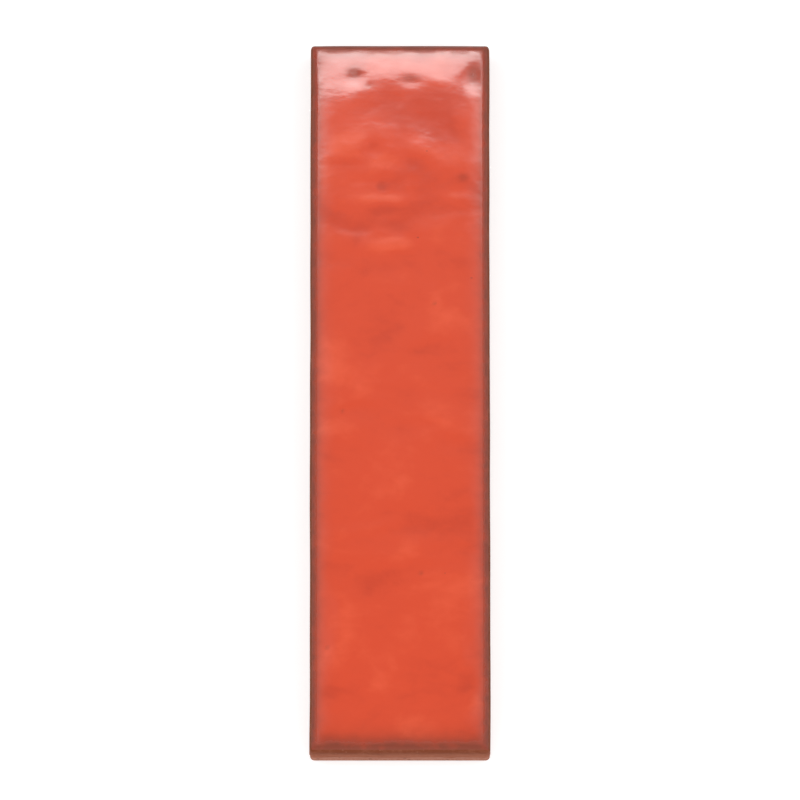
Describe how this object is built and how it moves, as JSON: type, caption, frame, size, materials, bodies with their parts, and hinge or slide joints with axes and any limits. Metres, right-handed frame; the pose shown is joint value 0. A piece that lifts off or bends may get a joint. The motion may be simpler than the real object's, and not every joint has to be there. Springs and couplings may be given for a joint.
{
  "type": "ceramic tile",
  "caption": "Long narrow glazed ceramic wall tile in coral red: a gloss face with a cushioned, rolled-over edge, straight joint faces and a back with shallow key pockets.",
  "frame": {"origin": "centre of the back, on the plane that the ribs and the border of the back lie on", "axes": "+X across the width, +Y along the length, +Z out of the glazed face; the tile lies on its back"},
  "size_m": [0.06, 0.25, 0.012],
  "materials": {
    "coral_glaze": "gloss"
  },
  "bodies": {
    "root": {"tile": "coral_glaze"}
  },
  "joints": []
}
